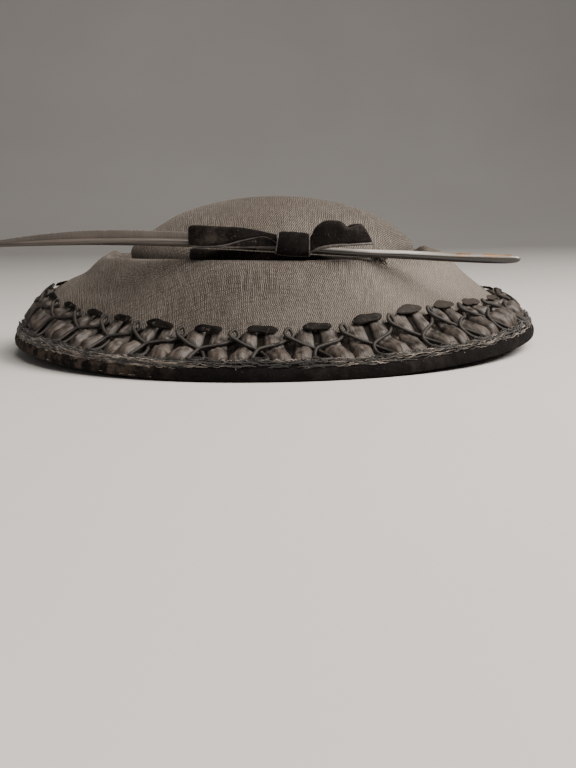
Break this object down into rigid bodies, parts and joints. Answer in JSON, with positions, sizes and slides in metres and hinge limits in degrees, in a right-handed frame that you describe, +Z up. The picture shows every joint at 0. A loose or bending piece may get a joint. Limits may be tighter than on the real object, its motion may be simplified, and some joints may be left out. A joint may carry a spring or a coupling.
{
  "type": "wide-brim hat",
  "caption": "Wide-brim hat of dark ribbed cloth with a low dome crown, velvet rim, padded satin braid on the brim, and a velvet bow over a long quill.",
  "frame": {"origin": "centre of the rim's circle, in the plane that the hat rests on", "axes": "+Z up through the crown, -Y towards the front where the bow and quill are, +X to the right as seen from the front"},
  "size_m": [0.3046, 0.305, 0.0876],
  "materials": {
    "ribbed_cloth": "fine ribbed charcoal cloth, slightly faded",
    "velvet": "black velvet, worn and dusty",
    "satin": "gathered black satin, soft gloss",
    "quill": "glossy grey quill with worn amber patches",
    "vane": "close taupe barbs"
  },
  "bodies": {
    "root": {"crown": "ribbed_cloth", "brim": "ribbed_cloth", "brim_binding": "velvet", "brim_braid": "satin", "quill_shaft": "quill", "quill_vane": "vane", "bow_left_loop": "velvet", "bow_right_loop": "velvet", "bow_knot": "velvet", "bow_pad": "velvet"}
  },
  "joints": []
}
